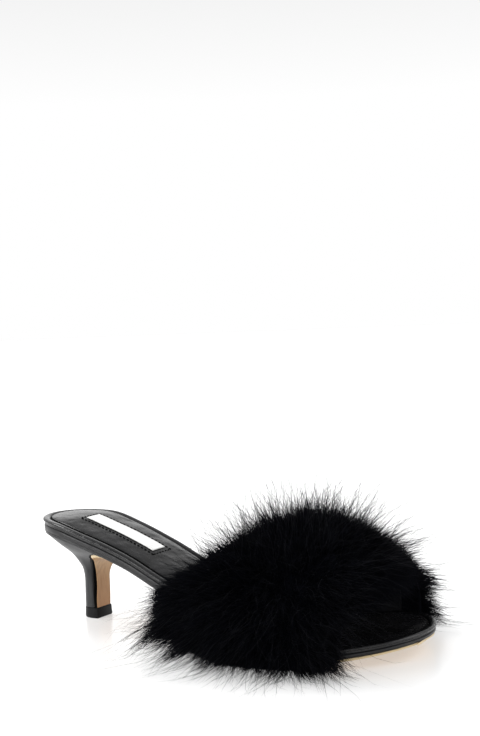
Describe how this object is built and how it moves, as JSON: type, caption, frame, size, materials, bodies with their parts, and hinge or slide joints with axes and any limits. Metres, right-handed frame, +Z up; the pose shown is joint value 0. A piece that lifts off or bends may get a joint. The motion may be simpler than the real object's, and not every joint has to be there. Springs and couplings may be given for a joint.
{
  "type": "kitten heel mule sandal",
  "caption": "Backless open-toe mule with a low curved heel, a padded black insole, a leather sole and a wide band of deep black faux fur over the forefoot",
  "frame": {"origin": "centre of the bounding box in plan, on the floor the shoe stands on", "axes": "+X runs from the heel to the toe, +Z is up, and -Y is the outer (lateral) side of this right shoe"},
  "size_m": [0.23, 0.1422, 0.0777],
  "materials": {
    "tan_leather": "smooth natural sole leather, satin",
    "wrap_leather": "smooth black leather, soft gloss",
    "sock_leather": "smooth black leather over foam, soft gloss",
    "label_cloth": "plain white, matt",
    "heel_cover": "smooth black leather, soft gloss",
    "heel_lift": "hard black rubber, satin",
    "band_leather": "smooth black lining leather",
    "faux_fur": "deep black pile with fine guard hairs"
  },
  "bodies": {
    "root": {"outsole": "tan_leather", "midsole": "wrap_leather", "insole_sock": "sock_leather", "insole_label": "label_cloth", "heel": "heel_cover", "heel_top_piece": "heel_lift", "upper_band": "band_leather", "fur_cover": "faux_fur"}
  },
  "joints": []
}
